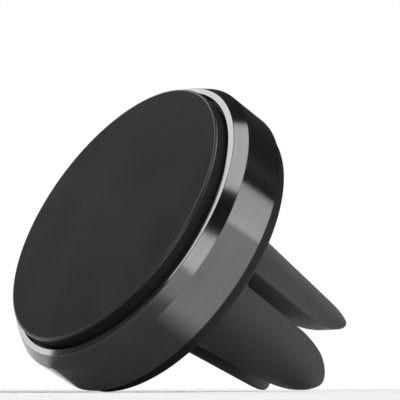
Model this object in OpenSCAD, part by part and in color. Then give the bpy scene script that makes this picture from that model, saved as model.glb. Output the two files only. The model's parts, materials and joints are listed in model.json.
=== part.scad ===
// Magnetic phone mount that clips onto a car's air vent blade.
// A round magnetic head sits on a soft clip with four prongs, split by two crossing blade slots.
// The mount is drawn leaning as it stands on a table: on the head's rear rim and the two lower prongs.
// Each piece is drawn along the head's own axis: z = 0 on the phone face, z growing towards the
// prong tips, x to the right and y down towards the table. place() then sets it in the frame:
// floor at z = 0, face towards -Y, prongs towards +Y, mirror plane at x = 0.

/* [Head] */
// Outer diameter of the metal bezel
bezel_d = 40; // [39:0.5:44]
// Gap between the soft face pad and the bezel around it
pad_gap = 0.4; // [0.3:0.1:1]
// How far the pad stands proud of the bezel's front facet
pad_proud = 1.5; // [1:0.1:2]
// Radial width of the bezel's polished front facet
facet_w = 0.8; // [0.6:0.05:1]
// How far the front facet slopes back from its inner to its outer edge
facet_fall = 0.2; // [0.05:0.05:0.4]
// Depth of the bezel, from its front facet to its rear edge
bezel_len = 7; // [7:0.1:8.6]
// Length of the bezel's conical bevel along the axis
bevel_len = 1.7; // [1.4:0.1:2.2]
// Radial depth of the bezel's conical bevel
bevel_in = 0.95; // [0.6:0.05:1.1]
// Depth of the black cover rim that shows behind the bezel
rim_h = 1.85; // [1.6:0.05:2]
// How far that rim is set in from the bezel's outside
rim_inset = 0.7; // [0.4:0.1:0.9]

/* [Magnets] */
// Diameter of each magnet
magnet_d = 10; // [8:0.5:10]
// Thickness of each magnet
magnet_h = 2; // [1.5:0.1:2]
// Distance from the head's axis to each magnet's centre
magnet_pitch_r = 8.8; // [8:0.1:9]

/* [Clip] */
// Diameter of the clip where it meets the head
clip_root_d = 19; // [18:0.2:21]
// Diameter of the cone that the prong tips lie on
clip_tip_d = 14.2; // [13:0.2:16]
// Distance from the cover to the prong tips
clip_len = 25.1; // [22:0.1:28]
// Length of the solid part of the clip, between the cover and the slots
clip_base_len = 5.6; // [5.2:0.2:7]
// Width of the slot for thin vent blades
thin_slot = 1.9; // [1.5:0.1:2.4]
// Width of the slot for thick vent blades
thick_slot = 3.8; // [3:0.1:4.4]
// Length of the curved lead-in at the end of each prong
lead_in_len = 5.1; // [4:0.1:7]
// How far the lead-in reaches from the slot into the prong
lead_in_w = 4.1; // [2.6:0.1:4.2]

/* [Swivel] */
// Diameter of the swivel post where it turns in the cover
post_d = 7.2; // [6.4:0.2:8]
// Radial clearance of the post in the cover
swivel_gap = 0.05; // [0.02:0.01:0.08]

/* [Hidden] */
$fn = 96;
eps = 0.01;
overshoot = 1;

// Depths behind the phone face, from the front of the head to the back
pad_h = 2;
pad_edge_r = 0.3;
glue_h = 0.2;
glue_inset = 0.5;
facet_z = pad_proud;
bevel_z = facet_z + bevel_len;
bezel_rear_z = facet_z + bezel_len;
carrier_z = pad_h + glue_h;
flange_h = 2.1;
lip_z = carrier_z + flange_h;
lip_h = 0.7;
wall_z = lip_z + lip_h;
carrier_h = 2.5;
yoke_z = carrier_z + carrier_h;
yoke_h = 0.6;
boss_z = yoke_z + yoke_h;
hub_h = 1.1;
hub_z = bezel_rear_z - hub_h;
cover_z = bezel_rear_z + rim_h;

// Radii inside the head
bezel_r = bezel_d / 2;
facet_out_r = bezel_r - bevel_in;
facet_in_r = facet_out_r - facet_w;
pad_r = facet_in_r - pad_gap;
lip_w = 1;
lip_r = facet_in_r - lip_w;
wall_step = 0.15;
wall_r = facet_in_r + wall_step;
wall_fit = 0.05;
carrier_gap = 0.2;
rim_r = bezel_r - rim_inset;
rim_edge_r = 0.6;
wall_t = 1.2;

// Magnets
magnet_count = 4;
pocket_gap = 0.1;
magnet_inset = 0.1;
magnet_z = carrier_z + magnet_inset;

// Screws that pull the carrier and the cover together
screw_count = 4;
screw_pitch_r = 14.6;
screw_r = 1;
screw_head_r = 1.8;
screw_head_h = 1;
screw_head_gap = 0.15;
screw_len = 6.2;
screw_hole_r = 1.15;
boss_r = 2.2;
drive_r = 0.45;
drive_h = 0.7;
pilot_h = 0.4;

// Swivel
hub_r = 6.2;
post_r = post_d / 2;
post_flange_r = 7.4;
post_flange_h = 1.2;
post_neck_r = 3.3;
barb_r = 4.9;
barb_z = 2.6;
barb_len = 1.8;
cavity_gap = 0.02;
swivel_screw_r = 1.3;
swivel_head_r = 2.7;
swivel_head_h = 1;
swivel_drive_r = 1;
swivel_drive_h = 0.6;
swivel_screw_reach = 1.4;
swivel_pilot_reach = 1.6;
washer_r = 5.2;
washer_h = 0.4;
washer_hole_r = 1.6;
dish_t = 0.25;
dish_h = 0.25;
spring_z = hub_z - dish_h - dish_t;
seat_z = spring_z - washer_h;
post_inset = 0.2;
post_top_z = hub_z + post_inset;
post_face_z = cover_z + swivel_gap;
flange_end_z = post_face_z + post_flange_h;

// Clip: a cone with crossing slots
clip_gap = 0.3;
clip_z = cover_z + clip_gap;
base_end_z = cover_z + clip_base_len;
tip_z = cover_z + clip_len;
root_gap = 0.7;
prong_z = base_end_z + root_gap;
lead_in_z = tip_z - lead_in_len;
lead_in_steps = 16;
neck_r = 1.9;
neck_gap = 0.1;
neck_len = 6;
neck_z = base_end_z + root_gap / 2;
neck_pitch_r = 5.6;

// Radius of the clip's cone at a depth z
function clip_r(z) = clip_root_d / 2 + (clip_tip_d - clip_root_d) / 2 * (z - cover_z) / clip_len;
// Angle of a prong's middle line, where the lead-in starts
diagonal = (asin(thin_slot / 2 / clip_r(lead_in_z)) + acos(thick_slot / 2 / clip_r(lead_in_z))) / 2;

// Profile of the lead-in beside a slot: distance from the slot's face, and depth of the prong's end
function lead_in(i) = let (t = i / lead_in_steps) [lead_in_w * t, tip_z - lead_in_len * pow(1 - t, 2)];
// Edge of a prong's end on the clip's cone, beside the thick slot, as [y, z]
tip_edge = [for (i = [0 : lead_in_steps]) let (p = lead_in(i), x = thick_slot / 2 + p[0])
    [sqrt(pow(clip_r(p[1]), 2) - x * x), p[1]]];

// Depth below the face's centre of the bezel, the rear rim and the lower prongs, at a lean in degrees
function bezel_drop(a) = bezel_r * cos(a) + bezel_rear_z * sin(a);
function rim_drop(a) = (rim_r - rim_edge_r) * cos(a) + (cover_z - rim_edge_r) * sin(a) + rim_edge_r;
function head_drop(a) = max(bezel_drop(a), rim_drop(a));
function prong_drop(a) = max([for (p = tip_edge) p[0] * cos(a) + p[1] * sin(a)]);
// Lean at which head and prongs stand on one floor, found by halving the interval
function stance(low, high, steps) =
    let (middle = (low + high) / 2)
    steps == 0 ? middle
        : prong_drop(middle) > head_drop(middle) ? stance(low, middle, steps - 1)
        : stance(middle, high, steps - 1);
// How far the head's axis points below level while the mount stands on a table
lean = stance(10, 50, 20);
face_height = head_drop(lean);
// Front and back of the leaning mount, measured from the face's centre
front_y = pad_edge_r * cos(lean) - (pad_r - pad_edge_r) * sin(lean) - pad_edge_r;
back_y = max([for (p = tip_edge) p[1] * cos(lean) + p[0] * sin(lean)]);

// Sets a piece that is drawn along the head's axis into the frame
module place() {
    translate([0, -(front_y + back_y) / 2, face_height])
        rotate([-(90 + lean), 0, 0])
            children();
}

// Disc or ring between two depths
module disc(r, z1, z2, hole_r = 0) {
    translate([0, 0, z1])
        difference() {
            cylinder(r = r, h = z2 - z1);
            if (hole_r > 0)
                translate([0, 0, -eps]) cylinder(r = hole_r, h = z2 - z1 + 2 * eps);
        }
}

// Repeats its children around the head's axis
module around(count, radius, first = 0) {
    for (i = [0 : count - 1])
        rotate([0, 0, first + i * 360 / count])
            translate([radius, 0, 0])
                children();
}

// Points of a quarter-round corner, turning from one angle to another
function arc(cx, cy, r, from, to, steps = 8) =
    [for (i = [0 : steps]) let (a = from + (to - from) * i / steps) [cx + r * cos(a), cy + r * sin(a)]];

// ---- Head ----

module face_pad() {
    edge = arc(pad_r - pad_edge_r, pad_edge_r, pad_edge_r, -90, 0);
    color([0.2, 0.2, 0.21])
        rotate_extrude()
            polygon(concat([[0, 0]], edge, [[pad_r, pad_h], [0, pad_h]]));
}

module pad_adhesive() {
    color([0.85, 0.85, 0.8])
        disc(pad_r - glue_inset, pad_h, carrier_z);
}

module bezel_ring() {
    color([0.45, 0.46, 0.48])
        rotate_extrude()
            polygon([[facet_in_r, facet_z], [facet_out_r, facet_z + facet_fall], [bezel_r, bevel_z],
                     [bezel_r, bezel_rear_z], [wall_r, bezel_rear_z], [wall_r, wall_z],
                     [lip_r, wall_z], [lip_r, lip_z], [facet_in_r, lip_z]]);
}

// Hole for a countersunk cover screw
module screw_hole() {
    translate([0, 0, carrier_z - eps])
        cylinder(r = screw_hole_r, h = carrier_h + 2 * eps);
    translate([0, 0, carrier_z - eps])
        cylinder(r1 = screw_head_r + screw_head_gap, r2 = screw_hole_r, h = screw_head_h);
}

module magnet_carrier() {
    color([0.12, 0.12, 0.12])
        difference() {
            union() {
                disc(facet_in_r - carrier_gap, carrier_z, lip_z);
                disc(lip_r - carrier_gap, lip_z - eps, yoke_z);
            }
            around(magnet_count, magnet_pitch_r)
                translate([0, 0, carrier_z - eps])
                    cylinder(r = magnet_d / 2 + pocket_gap, h = magnet_z - carrier_z + magnet_h + eps);
            around(screw_count, screw_pitch_r, 45)
                screw_hole();
        }
}

// One magnet, in the pocket with this number
module magnet(number) {
    color([0.75, 0.76, 0.78])
        rotate([0, 0, (number - 1) * 360 / magnet_count])
            translate([magnet_pitch_r, 0, magnet_z])
                cylinder(d = magnet_d, h = magnet_h);
}

module yoke_plate() {
    color([0.6, 0.61, 0.63])
        difference() {
            disc(lip_r - carrier_gap, yoke_z, boss_z);
            around(screw_count, screw_pitch_r, 45)
                translate([0, 0, yoke_z - eps])
                    cylinder(r = screw_hole_r, h = yoke_h + 2 * eps);
        }
}

module rear_cover() {
    outer = wall_r - wall_fit;
    color([0.1, 0.1, 0.1])
        difference() {
            union() {
                rotate_extrude()
                    polygon(concat([[0, bezel_rear_z], [rim_r, bezel_rear_z]],
                                   arc(rim_r - rim_edge_r, cover_z - rim_edge_r, rim_edge_r, 0, 90),
                                   [[0, cover_z]]));
                disc(outer, wall_z, bezel_rear_z + eps, outer - wall_t);
                disc(hub_r, hub_z, bezel_rear_z + eps);
                around(screw_count, screw_pitch_r, 45)
                    disc(boss_r, boss_z, bezel_rear_z + eps);
            }
            disc(post_r + swivel_gap, hub_z - overshoot, cover_z + overshoot);
            around(screw_count, screw_pitch_r, 45)
                disc(screw_r, boss_z - overshoot, bezel_rear_z + pilot_h);
        }
}

// One countersunk screw with a socket in its head
module cover_screw() {
    difference() {
        union() {
            translate([0, 0, carrier_z])
                cylinder(r1 = screw_head_r, r2 = screw_r, h = screw_head_h);
            disc(screw_r, carrier_z + eps, carrier_z + screw_len);
        }
        translate([0, 0, carrier_z - eps])
            cylinder(r = drive_r, h = drive_h, $fn = 6);
    }
}

module cover_screws() {
    color([0.35, 0.35, 0.36])
        around(screw_count, screw_pitch_r, 45)
            cover_screw();
}

// ---- Swivel ----

module spring_washer() {
    color([0.65, 0.66, 0.68])
        rotate_extrude()
            polygon([[washer_hole_r, spring_z], [washer_r, spring_z + dish_h], [washer_r, hub_z],
                     [washer_hole_r, spring_z + dish_t]]);
}

module flat_washer() {
    color([0.7, 0.71, 0.73])
        disc(washer_r, seat_z, spring_z, washer_hole_r);
}

module swivel_screw() {
    color([0.4, 0.4, 0.42])
        difference() {
            union() {
                disc(swivel_head_r, seat_z - swivel_head_h, seat_z);
                disc(swivel_screw_r, seat_z - eps, flange_end_z + swivel_screw_reach);
            }
            translate([0, 0, seat_z - swivel_head_h - eps])
                cylinder(r = swivel_drive_r, h = swivel_drive_h, $fn = 6);
        }
}

// Profile of the swivel post: turned spigot, flange, neck and barb
function post_profile(grow) =
    let (
        flange_end = flange_end_z + grow,
        barb_start = post_face_z + barb_z - grow,
        barb_end = barb_start + barb_len + 2 * grow
    )
    [[0, post_top_z], [post_r, post_top_z], [post_r, post_face_z], [post_flange_r + grow, post_face_z],
     [post_flange_r + grow, flange_end], [post_neck_r + grow, flange_end],
     [post_neck_r + grow, barb_start], [barb_r + grow, barb_start],
     [post_neck_r + grow, barb_end], [0, barb_end]];

module swivel_post() {
    color([0.13, 0.13, 0.13])
        difference() {
            rotate_extrude() polygon(post_profile(0));
            disc(swivel_screw_r + cavity_gap, post_top_z - overshoot, flange_end_z + swivel_pilot_reach);
        }
}

// ---- Clip ----

// The clip's cone between two depths
module clip_cone(z1, z2) {
    translate([0, 0, z1])
        cylinder(r1 = clip_r(z1), r2 = clip_r(z2), h = z2 - z1);
}

// Round bar along a prong's bending line
module neck(r, length) {
    rotate([0, 0, diagonal])
        translate([neck_pitch_r, 0, neck_z])
            rotate([90, 0, 0])
                cylinder(r = r, h = length, center = true);
}

module clip_base() {
    color([0.24, 0.24, 0.25])
        difference() {
            union() {
                clip_cone(clip_z, base_end_z);
                for (flip_x = [0, 1], flip_y = [0, 1])
                    mirror([flip_x, 0, 0]) mirror([0, flip_y, 0]) neck(neck_r, neck_len);
            }
            difference() {
                rotate_extrude() polygon(post_profile(cavity_gap));
                disc(barb_r, post_top_z - overshoot, cover_z - overshoot);
            }
            disc(post_flange_r + cavity_gap, cover_z, post_face_z + eps);
        }
}

// Side view of a prong beside a slot of this width: flat slot face, then the curved lead-in
module prong_side(slot) {
    curve = [for (i = [0 : lead_in_steps]) lead_in(i) + [slot / 2, 0]];
    polygon(concat([[clip_root_d, prong_z], [slot / 2, prong_z]], curve, [[clip_root_d, tip_z]]));
}

// The prong in the +x, +y quarter; the others are its mirror images
module prong() {
    color([0.26, 0.26, 0.27])
        difference() {
            intersection() {
                clip_cone(prong_z, tip_z);
                translate([0, clip_root_d, 0])
                    rotate([90, 0, 0])
                        linear_extrude(clip_root_d) prong_side(thick_slot);
                rotate([90, 0, 90])
                    linear_extrude(clip_root_d) prong_side(thin_slot);
            }
            neck(neck_r + neck_gap, clip_root_d);
        }
}

place() face_pad();
place() pad_adhesive();
place() bezel_ring();
place() magnet_carrier();
place() magnet(1);  // magnet_1
place() magnet(2);  // magnet_2
place() magnet(3);  // magnet_3
place() magnet(4);  // magnet_4
place() yoke_plate();
place() rear_cover();
place() cover_screws();
place() flat_washer();
place() spring_washer();
place() swivel_screw();
place() swivel_post();
place() clip_base();
place() mirror([0, 1, 0]) prong();  // prong_upper_right
place() mirror([1, 0, 0]) mirror([0, 1, 0]) prong();  // prong_upper_left
place() mirror([1, 0, 0]) prong();  // prong_lower_left
place() prong();  // prong_lower_right
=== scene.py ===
"""Looks of the magnetic phone mount: skins round the CAD frame, materials, floor, light, camera."""
import json
import math

import bpy
import numpy as np
from mathutils import Matrix, Vector


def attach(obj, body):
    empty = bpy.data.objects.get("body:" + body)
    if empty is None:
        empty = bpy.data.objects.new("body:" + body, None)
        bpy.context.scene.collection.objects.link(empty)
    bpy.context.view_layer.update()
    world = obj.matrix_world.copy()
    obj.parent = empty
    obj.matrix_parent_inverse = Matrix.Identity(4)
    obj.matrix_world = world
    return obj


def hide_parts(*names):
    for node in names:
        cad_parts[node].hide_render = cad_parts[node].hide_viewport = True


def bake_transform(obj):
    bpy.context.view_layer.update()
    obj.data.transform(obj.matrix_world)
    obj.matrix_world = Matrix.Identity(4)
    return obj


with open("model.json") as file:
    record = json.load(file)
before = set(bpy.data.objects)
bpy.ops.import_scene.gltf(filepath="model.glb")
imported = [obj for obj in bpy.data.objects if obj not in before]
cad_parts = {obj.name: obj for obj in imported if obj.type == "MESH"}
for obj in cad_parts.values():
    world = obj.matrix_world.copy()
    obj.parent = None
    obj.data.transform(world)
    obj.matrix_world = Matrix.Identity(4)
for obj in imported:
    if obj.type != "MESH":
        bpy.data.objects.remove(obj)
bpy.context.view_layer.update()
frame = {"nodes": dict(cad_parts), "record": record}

MM = 0.001

# ---------------------------------------------------------------- the head's own frame
# x to the right, y down the face, z behind the phone face; in millimetres.
record = frame["record"]
mounts = {m["name"]: m for m in record["mounts"]}
FACE = Vector(mounts["phone_face"]["pos_m"])
DEPTH = -Vector(mounts["phone_face"]["axis"])
SIDE = Vector((1, 0, 0))
DOWN = DEPTH.cross(SIDE)
HEAD = Matrix.Translation(FACE) @ Matrix((SIDE, DOWN, DEPTH)).transposed().to_4x4()


def in_head(node):
    """Vertices of a CAD node in the head's own frame, in millimetres."""
    back = HEAD.inverted()
    return np.array([(back @ v.co)[:] for v in frame["nodes"][node].data.vertices]) / MM


def depths(node):
    z = in_head(node)[:, 2]
    return z.min(), z.max()


def radius(node):
    p = in_head(node)
    return np.hypot(p[:, 0], p[:, 1]).max()


# ---------------------------------------------------------------- meshes
def new_object(name, verts, faces, normals=None, materials=(), indices=None):
    """A piece from points in the head's frame, in millimetres."""
    mesh = bpy.data.meshes.new(name)
    mesh.from_pydata([tuple(v * MM for v in p) for p in verts], [], faces)
    mesh.polygons.foreach_set("use_smooth", [True] * len(mesh.polygons))
    for m in materials:
        mesh.materials.append(m)
    if indices is not None:
        mesh.polygons.foreach_set("material_index", indices)
    if normals is not None:
        mesh.normals_split_custom_set_from_vertices([tuple(n) for n in normals])
    mesh.transform(HEAD)
    mesh.update()
    obj = bpy.data.objects.new(name, mesh)
    bpy.context.scene.collection.objects.link(obj)
    return obj


def rounded(corners, steps=5):
    """Outline through (r, z, fillet radius) corners, with each corner rounded.

    Gives its (r, z) points, their outward normals and the number of each point's corner.
    The outline runs anticlockwise."""
    points, normals, owner = [], [], []
    count = len(corners)
    for i, (r, z, fillet) in enumerate(corners):
        here = np.array((r, z), float)
        into = here - np.array(corners[i - 1][:2], float)
        out = np.array(corners[(i + 1) % count][:2], float) - here
        into, out = into / np.linalg.norm(into), out / np.linalg.norm(out)
        turn = math.atan2(into[0] * out[1] - into[1] * out[0], into @ out)
        reach = fillet * math.tan(abs(turn) / 2)
        first = here - into * reach
        side = math.copysign(1, turn)
        normal = np.array((into[1], -into[0]))
        centre = first - normal * side * fillet
        for k in range(steps + 1):
            a = turn * k / steps
            n = np.array((normal[0] * math.cos(a) - normal[1] * math.sin(a),
                          normal[0] * math.sin(a) + normal[1] * math.cos(a)))
            points.append(centre + n * side * fillet)
            normals.append(n)
            owner.append(i)
    return np.array(points), np.array(normals), owner


def lathe(name, corners, segments=240, materials=(), zone=None, steps=5):
    """A closed ring turned round the head's axis from a rounded outline."""
    points, normals, owner = rounded(corners, steps)
    count = len(points)
    angles = 2 * math.pi * np.arange(segments) / segments
    verts, vert_normals = [], []
    for a in angles:
        c, s = math.cos(a), math.sin(a)
        verts += [(r * c, r * s, z) for r, z in points]
        vert_normals += [(nr * c, nr * s, nz) for nr, nz in normals]
    faces, indices = [], []
    for j in range(segments):
        for i in range(count):
            a, b = j * count + i, j * count + (i + 1) % count
            c, d = (b + count) % (count * segments), (a + count) % (count * segments)
            faces.append((a, d, c, b))
            indices.append(zone(owner[i], owner[(i + 1) % count]) if zone else 0)
    return new_object(name, verts, faces, vert_normals, materials, indices)


# ---------------------------------------------------------------- materials
class Shader:
    """Small helper for building one procedural material."""

    def __init__(self, name, **sockets):
        self.material = bpy.data.materials.new(name)
        self.material.use_nodes = True
        self.tree = self.material.node_tree
        self.nodes, self.links = self.tree.nodes, self.tree.links
        self.bsdf = self.nodes["Principled BSDF"]
        for socket, value in sockets.items():
            self.bsdf.inputs[socket.replace("_", " ")].default_value = value
        self.coords = self.nodes.new("ShaderNodeTexCoord").outputs["Object"]

    def node(self, kind, inputs=None, **settings):
        made = self.nodes.new(kind)
        for key, value in settings.items():
            setattr(made, key, value)
        for key, value in (inputs or {}).items():
            if isinstance(value, bpy.types.NodeSocket):
                self.links.new(value, made.inputs[key])
            else:
                made.inputs[key].default_value = value
        return made

    def math(self, operation, a, b):
        return self.node("ShaderNodeMath", {0: a, 1: b}, operation=operation).outputs[0]

    def vector(self, operation, a, b=(0, 0, 0)):
        made = self.node("ShaderNodeVectorMath", {0: a, 1: b}, operation=operation)
        return made.outputs["Value" if operation in ("DOT_PRODUCT", "LENGTH") else "Vector"]

    def noise(self, per_mm, detail=2.0, rough=0.5, vector=None):
        """Noise with about this many cells to a millimetre."""
        inputs = {"Vector": vector or self.coords, "Scale": per_mm / MM,
                  "Detail": detail, "Roughness": rough}
        return self.node("ShaderNodeTexNoise", inputs).outputs["Fac"]

    def weighted(self, first, share, second, rest):
        """The sum of two values, each multiplied by its share."""
        first, second = self.math("MULTIPLY", first, share), self.math("MULTIPLY", second, rest)
        return self.math("ADD", first, second)

    def span(self, value, low, high, source=(0.3, 0.7)):
        """The value's usual range mapped to low..high."""
        inputs = {"Value": value, "From Min": source[0], "From Max": source[1],
                  "To Min": low, "To Max": high}
        return self.node("ShaderNodeMapRange", inputs).outputs["Result"]

    def mix(self, factor, dark, light):
        made = self.node("ShaderNodeMix", data_type="RGBA")
        self.links.new(factor, made.inputs[0])
        made.inputs[6].default_value = (*dark, 1)
        made.inputs[7].default_value = (*light, 1)
        return made.outputs[2]

    def bump(self, height, depth_mm, normal=None):
        inputs = {"Height": height, "Strength": 1.0, "Distance": depth_mm * MM}
        if normal is not None:
            inputs["Normal"] = normal
        return self.node("ShaderNodeBump", inputs).outputs["Normal"]

    def feed(self, **sockets):
        for socket, value in sockets.items():
            self.links.new(value, self.bsdf.inputs[socket.replace("_", " ")])
        return self.material


def pad_material(name, specular, rough_low, rough_high):
    """Matte rubber with a fine grain and faint clouds."""
    s = Shader(name, Specular_IOR_Level=specular)
    cloud = s.noise(0.12, 3)
    grain = s.noise(5.5, 2, 0.6)
    colour = s.mix(s.span(s.weighted(cloud, 0.6, grain, 0.4), 0, 1),
                   (0.0115, 0.0115, 0.0119), (0.015, 0.015, 0.0154))
    rough = s.span(s.weighted(grain, 0.5, cloud, 0.5), rough_low, rough_high)
    normal = s.bump(grain, 0.006, s.bump(s.noise(1.3, 2), 0.004))
    return s.feed(Base_Color=colour, Roughness=rough, Normal=normal)


def turned_metal(name, dark, light, rough, anisotropy, groove_mm):
    """Metal turned on a lathe: fine grooves round the head's axis spread the gloss across them."""
    s = Shader(name, Metallic=1.0, Anisotropic=anisotropy)
    from_face = s.vector("SUBTRACT", s.coords, FACE)
    depth = s.vector("DOT_PRODUCT", from_face, DEPTH)
    around = s.vector("CROSS_PRODUCT", DEPTH, from_face)
    across = s.node("ShaderNodeCombineXYZ",
                    {"X": s.vector("LENGTH", around), "Y": depth}).outputs[0]
    groove = s.noise(9.0, 2, 0.7, across)
    coarse = s.noise(1.6, 2, 0.5, across)
    cloud = s.noise(0.25, 3)
    shade = s.math("ADD", s.math("MULTIPLY", groove, 0.35), s.weighted(coarse, 0.35, cloud, 0.3))
    colour = s.mix(s.span(shade, 0, 1), dark, light)
    roughness = s.span(s.weighted(groove, 0.5, cloud, 0.5), rough * 0.9, rough * 1.12)
    normal = s.bump(groove, groove_mm)
    surface = s.node("ShaderNodeNewGeometry").outputs["Normal"]
    return s.feed(Base_Color=colour, Roughness=roughness, Normal=normal,
                  Tangent=s.vector("CROSS_PRODUCT", s.vector("NORMALIZE", around), surface))


def moulded_plastic(name, dark, light, rough, specular=0.5, grain_mm=0.012):
    """Satin plastic with the grain of its mould."""
    s = Shader(name, Specular_IOR_Level=specular)
    grain = s.noise(4.5, 2, 0.55)
    cloud = s.noise(0.2, 3)
    colour = s.mix(s.span(s.weighted(grain, 0.5, cloud, 0.5), 0, 1), dark, light)
    roughness = s.span(grain, rough - 0.06, rough + 0.08)
    return s.feed(Base_Color=colour, Roughness=roughness, Normal=s.bump(grain, grain_mm))


def silicone_material():
    """Soft silicone with a fine grain and a few dusty specks."""
    s = Shader("clip_silicone", Specular_IOR_Level=0.3, Sheen_Weight=0.04, Sheen_Roughness=0.5)
    grain = s.noise(4.0, 3, 0.6)
    cloud = s.noise(0.22, 3)
    speck = s.span(s.noise(1.1, 1), 0, 1, (0.66, 0.74))
    body = s.mix(s.span(s.weighted(grain, 0.4, cloud, 0.6), 0, 1),
                 (0.050, 0.050, 0.0514), (0.062, 0.062, 0.0637))
    dusty = s.node("ShaderNodeMix", data_type="RGBA")
    s.links.new(s.math("MULTIPLY", speck, 0.35), dusty.inputs[0])
    s.links.new(body, dusty.inputs[6])
    dusty.inputs[7].default_value = (0.068, 0.068, 0.0695, 1)
    rough = s.span(s.weighted(grain, 0.5, cloud, 0.5), 0.54, 0.7)
    return s.feed(Base_Color=dusty.outputs[2], Roughness=rough, Normal=s.bump(grain, 0.01))


def plated_metal(name, dark, light, rough, scratch_mm):
    """Plated steel, a little uneven in colour and gloss."""
    s = Shader(name, Metallic=1.0)
    cloud = s.noise(0.5, 4, 0.6)
    fine = s.noise(6.0, 2, 0.6)
    colour = s.mix(s.span(cloud, 0, 1), dark, light)
    roughness = s.span(s.weighted(fine, 0.4, cloud, 0.6), rough * 0.8, rough * 1.3)
    return s.feed(Base_Color=colour, Roughness=roughness, Normal=s.bump(fine, scratch_mm))


def tape_material():
    s = Shader("adhesive")
    fibre = s.noise(3.0, 4, 0.7)
    colour = s.mix(s.span(fibre, 0, 1), (0.50, 0.49, 0.44), (0.66, 0.65, 0.60))
    return s.feed(Base_Color=colour, Roughness=s.span(fibre, 0.42, 0.6), Normal=s.bump(fibre, 0.02))


PAD = pad_material("pad_rubber", 0.12, 0.5, 0.66)
PAD_RIM = pad_material("pad_rim", 0.6, 0.2, 0.28)
BEZEL = turned_metal("bezel_anodised", (0.145, 0.146, 0.149), (0.19, 0.191, 0.194),
                     0.15, 0.7, 0.0007)
FACET = turned_metal("bezel_bright_cut", (0.37, 0.37, 0.375), (0.46, 0.46, 0.465),
                     0.11, 0.7, 0.0002)
COVER = moulded_plastic("rear_cover_plastic", (0.008, 0.008, 0.0083), (0.012, 0.012, 0.0125),
                        0.5, 0.22)
CARRIER = moulded_plastic("inner_plastic", (0.008, 0.008, 0.008), (0.013, 0.013, 0.0135), 0.6)
SILICONE = silicone_material()
TAPE = tape_material()
NICKEL = plated_metal("magnet_nickel", (0.55, 0.55, 0.56), (0.70, 0.69, 0.67), 0.2, 0.0015)
ZINC = plated_metal("zinc_plate", (0.42, 0.43, 0.45), (0.58, 0.58, 0.60), 0.34, 0.004)
BLACK_ZINC = plated_metal("black_zinc", (0.07, 0.07, 0.073), (0.13, 0.13, 0.135), 0.38, 0.003)

# The CAD nodes that no skin replaces keep their meshes and get these looks.
CARRIED_OVER = {"pad_adhesive": TAPE, "magnet_carrier": CARRIER, "yoke_plate": ZINC,
                "magnet_1": NICKEL, "magnet_2": NICKEL, "magnet_3": NICKEL, "magnet_4": NICKEL,
                "cover_screws": BLACK_ZINC, "flat_washer": ZINC, "spring_washer": ZINC,
                "swivel_screw": BLACK_ZINC, "swivel_post": CARRIER}
for name, material in CARRIED_OVER.items():
    node = frame["nodes"][name]
    if not node.material_slots:
        node.data.materials.append(None)
    for slot in node.material_slots:
        slot.material = material

# ---------------------------------------------------------------- face pad
PAD_EDGE, PAD_BACK_EDGE, PAD_CORE, PAD_CORE_EDGE = 0.3, 0.05, 0.02, 0.001
pad_z1, pad_z2 = depths("face_pad")
pad_r = radius("face_pad")
pad_outline = [(pad_r, pad_z1, PAD_EDGE), (pad_r, pad_z2, PAD_BACK_EDGE),
               (PAD_CORE, pad_z2, PAD_CORE_EDGE), (PAD_CORE, pad_z1, PAD_CORE_EDGE)]
# Only the front edge's own fillet, corner 0, is glossier.
face_pad = lathe("face_pad_skin", pad_outline, materials=[PAD, PAD_RIM], steps=12,
                 zone=lambda a, b: 1 if a == b == 0 else 0)
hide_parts("face_pad")
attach(face_pad, "head")

# ---------------------------------------------------------------- bezel
FACET_OUT, FACET_IN, FACET_FALL, BEVEL_LEN, WALL_R = 19.05, 18.25, 0.2, 1.7, 18.4
LIP_R, LIP_Z, LIP_H = 17.25, 4.3, 0.7
bezel_z1, bezel_z2 = depths("bezel_ring")
bezel_r = radius("bezel_ring")
bevel_z = bezel_z1 + BEVEL_LEN
bezel_outline = [(FACET_OUT, bezel_z1 + FACET_FALL, 0.12), (bezel_r, bevel_z, 0.08),
                 (bezel_r, bezel_z2, 0.08), (WALL_R, bezel_z2, 0.05), (WALL_R, LIP_Z + LIP_H, 0.03),
                 (LIP_R, LIP_Z + LIP_H, 0.05), (LIP_R, LIP_Z, 0.05), (FACET_IN, LIP_Z, 0.03),
                 (FACET_IN, bezel_z1, 0.06)]
FACET_CORNERS = {0, len(bezel_outline) - 1}
bezel = lathe("bezel_ring_skin", bezel_outline, materials=[BEZEL, FACET], segments=288,
              zone=lambda a, b: 1 if a != b and {a, b} == FACET_CORNERS else 0)
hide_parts("bezel_ring")
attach(bezel, "head")

# ---------------------------------------------------------------- rear cover
COVER_R, BORE_R, HUB_R, HUB_H = 19.3, 3.65, 6.2, 1.1
RIM_EDGE, STEP_R, STEP_W, STEP_H = 0.6, 16.4, 0.3, 0.2
cover_z = depths("rear_cover")[1]
cover = lathe("rear_cover_skin",
              [(BORE_R, bezel_z2 - HUB_H, 0.05), (HUB_R, bezel_z2 - HUB_H, 0.1),
               (HUB_R, bezel_z2, 0.05), (COVER_R, bezel_z2, 0.03), (COVER_R, cover_z, RIM_EDGE),
               (STEP_R + STEP_W, cover_z, 0.12), (STEP_R, cover_z - STEP_H, 0.12),
               (BORE_R, cover_z - STEP_H, 0.1)],
              materials=[COVER], steps=7)
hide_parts("rear_cover")
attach(cover, "head")

# ---------------------------------------------------------------- clip
ROOT_R, TIP_R = 9.5, 7.1
THIN, THICK = 0.95, 1.9
LEAD_LEN, LEAD_W = 5.1, 4.1
PRONG_EDGE, ROOT_EDGE, EDGE_GROWS, LEAD_ROUND = 0.4, 0.02, 1.2, 1.2
ROOT_FILLET, BASE_EDGE, MOUTH_EDGE, BASE_CORE = 0.5, 0.45, 0.35, 3.5
TIP_Z, BASE_Z = 35.45, 15.95
clip_z1 = depths("clip_base")[0]
cone_slope = (TIP_R - ROOT_R) / (TIP_Z - cover_z)


def clip_r(z):
    return ROOT_R + cone_slope * (z - cover_z)


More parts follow.
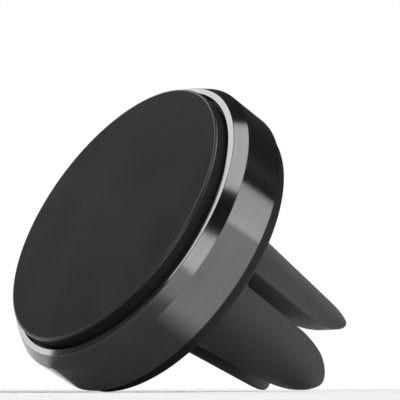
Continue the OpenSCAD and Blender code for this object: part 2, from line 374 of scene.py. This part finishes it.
def smooth(t):
    t = np.clip(t, 0, 1)
    return t * t * (3 - 2 * t)


def round_max(gs, r):
    """Intersection of half-spaces g <= 0 with edges rounded to radius r."""
    gs = np.array(np.broadcast_arrays(*gs))
    most = gs.max(0)
    over = np.sqrt((np.maximum(gs + r, 0) ** 2).sum(0)) - r
    return np.where(most > -r, over, most)


def slot_side(x, z, half):
    """Distance outside a prong's slot face and the curved lead-in at its end."""
    t = np.minimum((x - half) / LEAD_W, 1)
    curve = TIP_Z - LEAD_LEN * (1 - t) ** 2
    steep = 2 * LEAD_LEN / LEAD_W * (1 - t)
    lead = (z - curve) / np.sqrt(1 + steep**2)
    rise = np.clip(z - BASE_Z, 0, ROOT_FILLET)
    flare = ROOT_FILLET - np.sqrt(np.maximum(ROOT_FILLET**2 - (ROOT_FILLET - rise) ** 2, 0))
    return round_max([half - flare - x, lead], LEAD_ROUND)


def prong_field(x, y, z):
    cone = (np.hypot(x, y) - clip_r(z)) * math.cos(math.atan(cone_slope))
    edge = ROOT_EDGE + (PRONG_EDGE - ROOT_EDGE) * smooth((z - BASE_Z) / EDGE_GROWS)
    return round_max([cone, slot_side(x, z, THICK), slot_side(y, z, THIN)], edge)


def deepest(z, centre, reach):
    """The most inward point of a prong's section, near a known one."""
    for _ in range(5):
        steps = np.linspace(-reach, reach, 41)
        gx, gy = np.meshgrid(centre[0] + steps, centre[1] + steps)
        field = prong_field(gx, gy, z)
        k = np.unravel_index(field.argmin(), field.shape)
        centre, reach = np.array((gx[k], gy[k])), reach / 4
    return centre, field.min()


SECTION_POINTS = 112
TRIAL_ANGLES = 1440
OUTSIDE = 14.0  # further from a prong's middle than any of its surface
EDGE_SHARE = 1.1  # how much turning counts against length when points are shared out


def section(z, centre):
    """Outline of a prong's section, with its points closer together round the edges."""
    angles = np.radians(45) + 2 * math.pi * np.arange(TRIAL_ANGLES + 1) / TRIAL_ANGLES
    dx, dy = np.cos(angles), np.sin(angles)
    near, far = np.zeros(len(angles)), np.full(len(angles), OUTSIDE)
    for _ in range(34):
        middle = (near + far) / 2
        inside = prong_field(centre[0] + middle * dx, centre[1] + middle * dy, z) < 0
        near, far = np.where(inside, middle, near), np.where(inside, far, middle)
    x, y = centre[0] + near * dx, centre[1] + near * dy
    step = np.hypot(np.diff(x), np.diff(y))
    heading = np.unwrap(np.arctan2(np.diff(y), np.diff(x)))
    turning = np.abs(np.diff(heading, append=heading[0] + 2 * math.pi))
    share = step / step.sum() + EDGE_SHARE * turning / turning.sum()
    along = np.concatenate([[0], np.cumsum(share)])
    wanted = along[-1] * np.arange(SECTION_POINTS) / SECTION_POINTS
    return np.interp(wanted, along, x), np.interp(wanted, along, y)


def prong_mesh():
    """Rings from the root to the tip of the prong in the +x, +y quarter."""
    count = SECTION_POINTS
    low, high = TIP_Z - 1.5, TIP_Z
    start = np.array((clip_r(TIP_Z) * 0.77, clip_r(TIP_Z) * 0.63))
    for _ in range(26):
        middle = (low + high) / 2
        low, high = (middle, high) if deepest(middle, start, 1.5)[1] < 0 else (low, middle)
    top = low  # where the rounded tip really ends
    knee = TIP_Z - LEAD_LEN - 1.0  # rings get closer together from here
    levels = list(BASE_Z + ROOT_FILLET * np.linspace(0, 1, 7) ** 2)
    levels += list(np.linspace(levels[-1] + 0.15, knee, 30))
    levels += [top - (top - knee) * (1 - k / 40) ** 2 for k in range(1, 40)] + [top - 0.0004]
    centre, reach = np.array((4.5, 3.8)), 2.5
    verts = []
    for z in levels:
        centre, _ = deepest(z, centre, reach)
        reach = 1.0
        x, y = section(z, centre)
        verts += [(a, b, z) for a, b in zip(x, y)]
    faces = []
    for j in range(len(levels) - 1):
        for i in range(count):
            a, b = j * count + i, j * count + (i + 1) % count
            faces.append((a, b, b + count, a + count))
    last = (len(levels) - 1) * count
    verts.append((*np.mean(verts[last:], axis=0)[:2], top))
    faces += [(last + i, last + (i + 1) % count, len(verts) - 1) for i in range(count)]
    faces.append(tuple(range(count))[::-1])
    return verts, faces


def mirrored(verts, faces, sx, sy):
    turned = [(x * sx, y * sy, z) for x, y, z in verts]
    return turned, [f[::-1] for f in faces] if sx * sy < 0 else faces


prong_verts, prong_faces = prong_mesh()
QUARTERS = {"upper_right": (1, -1), "upper_left": (-1, -1),
            "lower_left": (-1, 1), "lower_right": (1, 1)}
for name, (sx, sy) in QUARTERS.items():
    prong = new_object(f"prong_{name}_skin", *mirrored(prong_verts, prong_faces, sx, sy),
                       materials=[SILICONE])
    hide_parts(f"prong_{name}")
    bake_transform(prong)


def base_mesh(segments=288):
    """The clip's solid root: a cone with a rounded foot.

    Where a slot opens to the outside, its floor rounds over."""
    verts = []
    foot, lip = 8, 6
    for k in range(segments):
        a = 2 * math.pi * k / segments
        c, s = math.cos(a), math.sin(a)
        r = clip_r(BASE_Z)
        open_x = smooth((THICK - ROOT_FILLET - abs(r * c)) / 0.5)
        open_y = smooth((THIN - ROOT_FILLET - abs(r * s)) / 0.3)
        edge = MOUTH_EDGE * max(open_x, open_y) + 0.001
        ring = [(BASE_CORE, clip_z1)]
        for i in range(foot + 1):
            t = math.pi / 2 * i / foot
            ring.append((clip_r(clip_z1) - BASE_EDGE * (1 - math.sin(t)),
                         clip_z1 + BASE_EDGE * (1 - math.cos(t))))
        for z in np.linspace(clip_z1 + BASE_EDGE + 0.3, BASE_Z - 0.45, 10):
            ring.append((clip_r(z), z))
        for i in range(lip + 1):
            t = math.pi / 2 * i / lip
            ring.append((clip_r(BASE_Z - edge) - edge * (1 - math.cos(t)),
                         BASE_Z - edge * (1 - math.sin(t))))
        for share in (0.93, 0.8, 0.5, 0.2):
            ring.append((clip_r(BASE_Z) * share, BASE_Z))
        verts += [(rr * c, rr * s, z) for rr, z in ring]
    count = len(ring)
    faces = []
    for j in range(segments):
        for i in range(count - 1):
            a, b = j * count + i, j * count + i + 1
            c, d = (b + count) % (count * segments), (a + count) % (count * segments)
            faces.append((a, d, c, b))
    faces.append(tuple(j * count + count - 1 for j in range(segments)))
    faces.append(tuple(j * count for j in range(segments))[::-1])
    return verts, faces


clip_base = new_object("clip_base_skin", *base_mesh(), materials=[SILICONE])
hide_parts("clip_base")
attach(clip_base, "clip")

# ---------------------------------------------------------------- floor, light and camera
FLOOR_HALF = 0.6
floor_mesh = bpy.data.meshes.new("floor")
floor_mesh.from_pydata([(x * FLOOR_HALF, y * FLOOR_HALF, 0) for x, y in
                        ((-1, -1), (1, -1), (1, 1), (-1, 1))], [], [(0, 1, 2, 3)])
floor = bpy.data.objects.new("floor", floor_mesh)
bpy.context.scene.collection.objects.link(floor)
paper = Shader("floor_paper", Roughness=0.7, Specular_IOR_Level=0.2)
mottle = paper.span(paper.noise(0.05, 3), 0, 1)
floor_mesh.materials.append(
    paper.feed(Base_Color=paper.mix(mottle, (0.80, 0.80, 0.80), (0.83, 0.83, 0.83))))


def direction(azimuth, elevation):
    a, e = math.radians(azimuth), math.radians(elevation)
    return Vector((math.sin(a) * math.cos(e), -math.cos(a) * math.cos(e), math.sin(e)))


AIM = Vector((0, 0, 0.02))


def panel(name, azimuths, elevations, radiance, distance=0.6):
    """A soft panel that covers this range of directions, seen from the mount.

    It faces the mount and hides from the camera; radiance is how bright it looks."""
    azimuth, elevation = sum(azimuths) / 2, sum(elevations) / 2
    half_width = math.radians(azimuths[1] - azimuths[0]) / 2 * math.cos(math.radians(elevation))
    half_height = math.radians(elevations[1] - elevations[0]) / 2
    data = bpy.data.lights.new(name, "AREA")
    data.shape = "RECTANGLE"
    data.size = width = 2 * distance * math.tan(half_width)
    data.size_y = height = 2 * distance * math.tan(half_height)
    data.energy = radiance * math.pi * (width * height)
    obj = bpy.data.objects.new(name, data)
    bpy.context.scene.collection.objects.link(obj)
    back = direction(azimuth, elevation)
    obj.location = AIM + back * distance
    obj.rotation_mode = "QUATERNION"
    obj.rotation_quaternion = back.to_track_quat("Z", "Y")
    obj.visible_camera = False
    return obj


def sun(name, azimuth, elevation, angle, strength):
    """Light from one side that makes a soft shadow and no glint.

    The angle is how wide it looks, in degrees."""
    data = bpy.data.lights.new(name, "SUN")
    data.angle, data.energy = math.radians(angle), strength
    obj = bpy.data.objects.new(name, data)
    bpy.context.scene.collection.objects.link(obj)
    obj.rotation_mode = "QUATERNION"
    obj.rotation_quaternion = direction(azimuth, elevation).to_track_quat("Z", "Y")
    obj.visible_glossy = False
    return obj


# Panels that only show in reflections don't light the floor, and the fill doesn't show in the ring.
panel("high_right", (68, 172), (36.5, 81), 2.1).visible_diffuse = False
panel("low_back_right", (112, 147), (0.5, 22), 1.65)
panel("low_front_right", (45, 72), (-3, 19), 2.1, 0.9)
panel("left", (-112, -26), (37, 64), 1.42, 1.5).visible_diffuse = False
panel("low_left", (-112, -61), (12, 37), 1.35, 1.5).visible_diffuse = False
panel("front", (-26, 22), (24, 62), 0.7, 1.5)
panel("fill_right", (25, 100), (2, 28), 1.6, 1.5).visible_glossy = False
sun("key", -148, 36, 14, 4.7)

world = bpy.data.worlds.new("studio")
bpy.context.scene.world = world
world.use_nodes = True
nodes, links = world.node_tree.nodes, world.node_tree.links
nodes.clear()
up = nodes.new("ShaderNodeSeparateXYZ")
links.new(nodes.new("ShaderNodeTexCoord").outputs["Generated"], up.inputs[0])
glow = nodes.new("ShaderNodeMapRange")
glow.interpolation_type = "SMOOTHSTEP"
links.new(up.outputs["Z"], glow.inputs["Value"])
for key, value in {"From Min": 0.0, "From Max": 0.16, "To Min": 0.5, "To Max": 0.05}.items():
    glow.inputs[key].default_value = value
room = nodes.new("ShaderNodeBackground")
room.inputs["Color"].default_value = (1, 1, 1, 1)
links.new(glow.outputs["Result"], room.inputs["Strength"])
backdrop = nodes.new("ShaderNodeBackground")
backdrop.inputs["Color"].default_value = (1, 1, 1, 1)
pick = nodes.new("ShaderNodeMixShader")
links.new(nodes.new("ShaderNodeLightPath").outputs["Is Camera Ray"], pick.inputs[0])
links.new(room.outputs[0], pick.inputs[1])
links.new(backdrop.outputs[0], pick.inputs[2])
links.new(pick.outputs[0], nodes.new("ShaderNodeOutputWorld").inputs[0])

camera_data = bpy.data.cameras.new("camera")
# Fitted to the photo: where the camera looks, from which side and how far away.
LOOK_AT = Vector((0.00661, -0.00386, 0.02304))
VIEW_AZIMUTH, VIEW_ELEVATION, VIEW_DISTANCE = 53.08, -6.09, 0.21764
LIFT = Vector((0, 0, 0.0004))  # keeps the camera just above the floor
camera_data.lens, camera_data.sensor_width = 162, 36
camera_data.clip_start, camera_data.clip_end = 0.01, 30
camera = bpy.data.objects.new("camera", camera_data)
bpy.context.scene.collection.objects.link(camera)
camera.location = LOOK_AT + direction(VIEW_AZIMUTH, VIEW_ELEVATION) * VIEW_DISTANCE + LIFT
camera.rotation_mode = "QUATERNION"
camera.rotation_quaternion = (camera.location - LOOK_AT).to_track_quat("Z", "Y")
bpy.context.scene.camera = camera
bpy.context.scene.view_settings.view_transform = "Standard"
